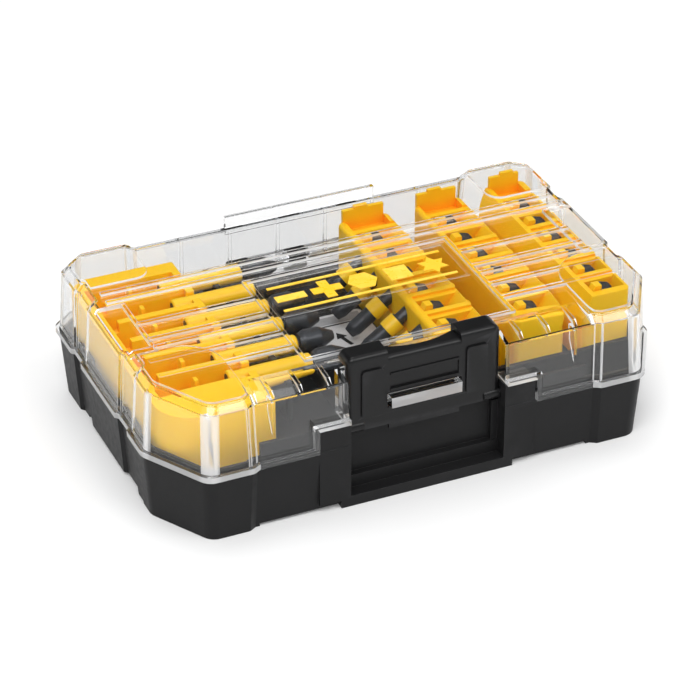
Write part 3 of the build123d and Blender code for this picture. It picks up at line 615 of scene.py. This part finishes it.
@dataclass
class Finishes:
    """Every material of the set, made once."""

    marks: SharedMarks = field(default_factory=lambda: SharedMarks(moulded_grain_group(), edge_wear_and_highlight_group()))
    black: bpy.types.Material = field(init=False)
    black_edge: bpy.types.Material = field(init=False)
    tray: bpy.types.Material = field(init=False)
    latch: bpy.types.Material = field(init=False)
    yellow: bpy.types.Material = field(init=False)
    sleeve: bpy.types.Material = field(init=False)
    ink: bpy.types.Material = field(init=False)
    card: bpy.types.Material = field(init=False)
    card_ink: bpy.types.Material = field(init=False)
    clear: bpy.types.Material = field(init=False)
    clear_edge: bpy.types.Material = field(init=False)
    frosted: bpy.types.Material = field(init=False)
    oxide: bpy.types.Material = field(init=False)
    wire: bpy.types.Material = field(init=False)

    def __post_init__(self) -> None:
        """Builds the materials from their descriptions."""
        self.black = BLACK_CASE.material(self.marks)
        self.black_edge = BLACK_EDGE.material(self.marks)
        self.tray = BLACK_TRAY.material(self.marks)
        self.latch = BLACK_LATCH.material(self.marks)
        self.yellow = YELLOW_HOLDER.material(self.marks)
        self.sleeve = YELLOW_SLEEVE.material(self.marks)
        self.ink = YELLOW_INK.material(self.marks)
        self.card = GREY_CARD.material(self.marks)
        self.card_ink = CARD_INK.material(self.marks)
        self.clear = CLEAR_LID.material(self.marks)
        self.clear_edge = CLEAR_EDGE.material(self.marks)
        self.frosted = FROSTED_LUG.material(self.marks)
        self.oxide = BLACK_OXIDE.material(self.marks)
        self.wire = BRIGHT_WIRE.material(self.marks)


@dataclass
class CaseShells:
    """The base, the clear lid and the latch."""

    finishes: Finishes
    base_rounding: float = 0.5 * MM
    lid_rounding: float = 0.3 * MM
    latch_rounding: float = 0.45 * MM
    strip_height: float = 2.6 * MM
    strip_width: float = 0.9 * MM
    strip_slope: float = 0.5
    lug_root: float = 1.5 * MM
    lug_half: float = 15.0 * MM
    lug_low: float = 36.0 * MM
    lug_high: float = 42.0 * MM

    def build(self) -> None:
        """Makes the three shells from their nodes."""
        looks = self.finishes
        base = recast("base_shell", "case_base", self.base_rounding, looks.black, looks.black_edge)
        hand_over(base, Body.BASE)
        lid = recast("lid_shell", "clear_lid", self.lid_rounding, looks.clear, looks.clear_edge)
        self.pale_strips_painted_highlight(lid)
        self.frost_lug(lid)
        hand_over(lid, Body.LID)
        latch = recast("latch", "front_latch", self.latch_rounding, looks.latch, looks.black_edge)
        hand_over(latch, Body.LATCH)

    def pale_strips_painted_highlight(self, lid: bpy.types.Object) -> None:
        """Gives the narrow upright faces of ribs, beads and flange the edge finish, whose whitish diffuse
        share is a painted highlight.

        Args:
            lid: The clear lid.
        """
        points = lid.data.vertices
        for face in lid.data.polygons:
            corners = [points[index].co for index in face.vertices]
            heights = [corner.z for corner in corners]
            around = sum((a - b).length for a, b in zip(corners, corners[1:] + corners[:1]))
            lying = max(heights) - min(heights) < self.strip_height
            # A long strip's width is twice its area over its outline
            slim = 2 * face.area < self.strip_width * around
            if abs(face.normal.z) < self.strip_slope and (lying or slim):
                face.material_index = EDGE_FINISH

    def frost_lug(self, lid: bpy.types.Object) -> None:
        """Gives the lug that comes through the latch its frosted finish.

        Args:
            lid: The clear lid.
        """
        lid.data.materials.append(self.finishes.frosted)
        frosted = len(lid.data.materials) - 1
        root_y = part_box("latch")[0][1] + self.lug_root
        for face in lid.data.polygons:
            x, y, z = face.center
            if y < root_y and abs(x) < self.lug_half and self.lug_low < z < self.lug_high:
                face.material_index = frosted


@dataclass
class Contents:
    """Bars, holder, tray, card, bits and pins inside the case."""

    finishes: Finishes
    rounding: float = 0.3 * MM
    band_rounding: float = 0.4 * MM
    insert_rounding: float = 0.25 * MM
    sharp: float = 0.0

    def build(self) -> None:
        """Dresses each piece of the contents by the first name that its node starts with."""
        looks = {
            "bit_bar": (self.finishes.yellow, Slot.YELLOW, self.rounding),
            "long_bit_holder": (self.finishes.yellow, Slot.YELLOW, self.rounding),
            "long_bit_sleeve": (self.finishes.sleeve, Slot.SLEEVE, self.sharp),
            "angled_bit_band": (self.finishes.sleeve, Slot.SLEEVE, self.band_rounding),
            "insert_bit": (self.finishes.oxide, Slot.BIT, self.insert_rounding),
            "angled_bit": (self.finishes.oxide, Slot.BIT, self.rounding),
            "long_bit": (self.finishes.oxide, Slot.BIT, self.sharp),
            "centre_tray": (self.finishes.tray, Slot.TRAY, self.rounding),
            "insert_card": (self.finishes.card, Slot.CARD, self.sharp),
            "hinge_pin": (self.finishes.wire, Slot.PIN, self.sharp),
            "latch_pin": (self.finishes.wire, Slot.PIN, self.sharp),
        }
        for node in sorted(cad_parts):
            start = next((key for key in looks if node.startswith(key)), None)
            if start is None:
                continue
            material, slot, width = looks[start]
            piece = recast(node, f"dressed_{node}", width, material)
            hand_over(piece, Body.BASE)


@dataclass
class CardPrint:
    """A shaded back field, a dark line and a plain arrow printed on the card."""

    finishes: Finishes
    thickness: float = 0.12 * MM
    soft_share: float = 1 / 3
    margin: float = 1.5 * MM
    line_y: float = 16.0 * MM
    line_width: float = 0.7 * MM
    tip: Point = (-4.6 * MM, 10.8 * MM)
    shaft_length: float = 6.5 * MM
    shaft_width: float = 1.6 * MM
    head_radius: float = 2.7 * MM
    head_corners: int = 3
    # A three-cornered head's length, in radii
    head_share: float = 1.5
    lean: float = 13.0

    def plate(self, name: str, low: Point, high: Point) -> bpy.types.Object:
        """A thin printed plate on the card.

        Args:
            name: Name of the plate.
            low: Its lowest corner in X and Y.
            high: Its highest corner in X and Y.

        Returns:
            The plate.
        """
        deselect()
        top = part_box("insert_card")[1][2]
        middle = ((low[0] + high[0]) / 2, (low[1] + high[1]) / 2, top + self.thickness / 2)
        bpy.ops.mesh.primitive_cube_add(size=1.0, location=middle)
        piece = bpy.context.object
        piece.name = name
        piece.scale = (high[0] - low[0], high[1] - low[1], self.thickness)
        settle(piece)
        return piece

    def finish(self, piece: bpy.types.Object, material: bpy.types.Material) -> None:
        """Softens a print's edge, inks it and hands it over.

        Args:
            piece: The printed shape.
            material: Its ink.
        """
        piece.data.materials.append(material)
        bevel_edges(piece, self.thickness * self.soft_share, segments=1)
        hand_over(piece, Body.BASE)

    def arrow(self) -> bpy.types.Object:
        """An arrow that points to the hinge side: a shaft with a three-cornered head.

        Returns:
            The arrow.
        """
        x, y = self.tip
        neck = y - self.head_share * self.head_radius
        half = self.shaft_width / 2
        shaft = self.plate("card_arrow", (x - half, neck - self.shaft_length), (x + half, neck + half))
        deselect()
        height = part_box("insert_card")[1][2] + self.thickness / 2
        bpy.ops.mesh.primitive_cylinder_add(
            vertices=self.head_corners,
            radius=self.head_radius,
            depth=self.thickness,
            location=(x, y - self.head_radius, height),
        )
        head = bpy.context.object
        settle(head)
        shaft.select_set(True)
        bpy.context.view_layer.objects.active = shaft
        bpy.ops.object.join()
        pivot = Vector((x, y, height))
        lean = Matrix.Rotation(radians(self.lean), 4, "Z")
        shaft.matrix_world = Matrix.Translation(pivot) @ lean @ Matrix.Translation(-pivot)
        settle(shaft)
        return shaft

    def build(self) -> None:
        """Adds the printed shapes."""
        low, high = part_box("insert_card")
        left, right = low[0] + self.margin, high[0] - self.margin
        self.finish(self.arrow(), self.finishes.tray)
        line_top = self.line_y + self.line_width
        line = self.plate("card_line", (left, self.line_y), (right, line_top))
        self.finish(line, self.finishes.tray)
        field_low = (left, line_top + self.line_width)
        back_field = self.plate("card_field", field_low, (right, high[1] - self.margin))
        self.finish(back_field, self.finishes.card_ink)


@dataclass
class LidPrint:
    """Stripes and icons printed on the lid."""

    finishes: Finishes
    rounding: float = 0.0

    def build(self) -> None:
        """Dresses the prints."""
        for node in ("lid_stripes", "lid_icons"):
            piece = recast(node, f"printed_{node}", self.rounding, self.finishes.ink)
            hand_over(piece, Body.LID)


@dataclass(frozen=True)
class Softbox:
    """A square lamp: its name, its place and side in metres and its power in watts."""

    name: str
    place: Place
    side: float
    power: float


@dataclass
class Studio:
    """Floor, lamps, surroundings and the camera at the photograph's angle."""

    focal_pixels: float = 3050.21
    azimuth: float = -23.81
    elevation: float = 32.19
    distance: float = 1.1692
    shift_right: float = -0.00322
    shift_up: float = 0.0195
    sensor: float = 36.0
    near: float = 0.05
    far: float = 20.0
    # Dome's strength from low to high, and the heights between which it changes
    dome: Span = (0.6, 0.72)
    dome_span: Span = (0.1, 0.9)
    # What mirrored rays see: a white horizon, and a sky that is bright in front and high up
    horizon_span: Span = (0.14, 0.3)
    front_sky: Span = (0.8, 0.05)
    front_span: Span = (-0.1, 0.4)
    steep_sky: Span = (0.25, 1.0)
    steep_span: Span = (0.45, 0.65)
    first_mirror: float = 0.5
    floor_side: float = 8.0
    floor_drop: float = 0.1 * MM
    floor_colour: Colour = (0.78, 0.78, 0.78)
    floor_roughness: float = 0.9
    floor_specular: float = 0.0
    floor_lift: float = 0.1
    aim: Place = (0.0, 0.0, 0.03)
    softboxes: tuple[Softbox, ...] = (
        Softbox("key_softbox", (-0.55, -0.75, 1.3), 0.9, 11.0),
        Softbox("fill_softbox", (0.5, -0.8, 1.1), 0.6, 4.5),
        Softbox("top_softbox", (0.0, 0.5, 1.4), 0.9, 5.0),
    )

    def build(self) -> None:
        """Sets the whole stage."""
        self.floor()
        self.surroundings()
        for softbox in self.softboxes:
            self.lamp(softbox)
        self.camera()

    def floor(self) -> None:
        """A pale floor that keeps the shadow of the case and is a little lifted where it is seen."""
        deselect()
        bpy.ops.mesh.primitive_plane_add(size=self.floor_side, location=(0.0, 0.0, -self.floor_drop))
        floor = bpy.context.object
        floor.name = "studio_floor"
        settle(floor)
        material, tree, shader = new_material("pale_floor")
        tree.put(self.floor_colour, shader.inputs["Base Color"])
        tree.put(self.floor_roughness, shader.inputs["Roughness"])
        tree.put(self.floor_specular, shader.inputs["Specular IOR Level"])
        path = tree.add("ShaderNodeLightPath")
        direct = tree.maths("MAXIMUM", path.outputs["Is Camera Ray"], path.outputs["Is Glossy Ray"])
        seen = tree.maths("MAXIMUM", direct, path.outputs["Is Transmission Ray"])
        tree.put(WHITE, shader.inputs["Emission Color"])
        tree.put(tree.maths("MULTIPLY", seen, self.floor_lift), shader.inputs["Emission Strength"])
        floor.data.materials.append(material)

    def surroundings(self) -> None:
        """A soft dome, which is white where it is seen and has its own sky for mirrored rays."""
        world = bpy.data.worlds.new("studio_dome")
        bpy.context.scene.world = world
        world.use_nodes = True
        tree = NodeTree(world.node_tree)
        background = world.node_tree.nodes["Background"]
        parts = tree.add("ShaderNodeSeparateXYZ")
        tree.put(tree.add("ShaderNodeTexCoord").outputs["Generated"], parts.inputs["Vector"])
        dome = tree.spread(parts.outputs["Z"], self.dome_span, self.dome)
        horizon = tree.spread(parts.outputs["Z"], self.horizon_span, (1.0, 0.0))
        front = tree.spread(parts.outputs["Y"], self.front_span, self.front_sky)
        steep = tree.spread(parts.outputs["Z"], self.steep_span, self.steep_sky)
        mirrored = tree.maths("MAXIMUM", horizon, tree.maths("MULTIPLY", front, steep))
        path = tree.add("ShaderNodeLightPath")
        bounced = tree.maths("GREATER_THAN", path.outputs["Glossy Depth"], self.first_mirror)
        seen = tree.maths("MAXIMUM", path.outputs["Is Camera Ray"], path.outputs["Is Transmission Ray"])
        unmirrored = tree.mix(seen, dome, 1.0, "FLOAT")
        tree.put(tree.mix(bounced, unmirrored, mirrored, "FLOAT"), background.inputs["Strength"])
        tree.put(WHITE, background.inputs["Color"])

    def lamp(self, softbox: Softbox) -> None:
        """Hangs one lamp and turns it to the case.

        Args:
            softbox: The lamp.
        """
        light = bpy.data.lights.new(softbox.name, "AREA")
        light.size = softbox.side
        light.energy = softbox.power
        lamp = bpy.data.objects.new(softbox.name, light)
        bpy.context.scene.collection.objects.link(lamp)
        lamp.location = softbox.place
        toward = Vector(self.aim) - Vector(softbox.place)
        lamp.rotation_mode = "QUATERNION"
        lamp.rotation_quaternion = toward.to_track_quat("-Z", "Y")

    def camera(self) -> None:
        """The camera, from the angles and distance fitted to the case's edges."""
        azimuth, elevation = radians(self.azimuth), radians(self.elevation)
        back = Vector((sin(azimuth) * cos(elevation), -cos(azimuth) * cos(elevation), sin(elevation)))
        right = Vector((cos(azimuth), sin(azimuth), 0.0))
        up = back.cross(right)
        data = bpy.data.cameras.new("photo_camera")
        data.sensor_width = self.sensor
        data.lens = self.focal_pixels / PICTURE_SIDE * self.sensor
        data.clip_start = self.near
        data.clip_end = self.far
        camera = bpy.data.objects.new("photo_camera", data)
        bpy.context.scene.collection.objects.link(camera)
        place = back * self.distance + right * self.shift_right + up * self.shift_up
        turn = Matrix((right, up, back)).transposed().to_4x4()
        camera.matrix_world = Matrix.Translation(place) @ turn
        bpy.context.scene.camera = camera


def main() -> None:
    """Builds the dressed bit set in order."""
    bpy.context.scene.view_settings.view_transform = "Standard"
    finishes = Finishes()
    CaseShells(finishes).build()
    Contents(finishes).build()
    CardPrint(finishes).build()
    LidPrint(finishes).build()
    Studio().build()


if __name__ == "__main__":
    main()
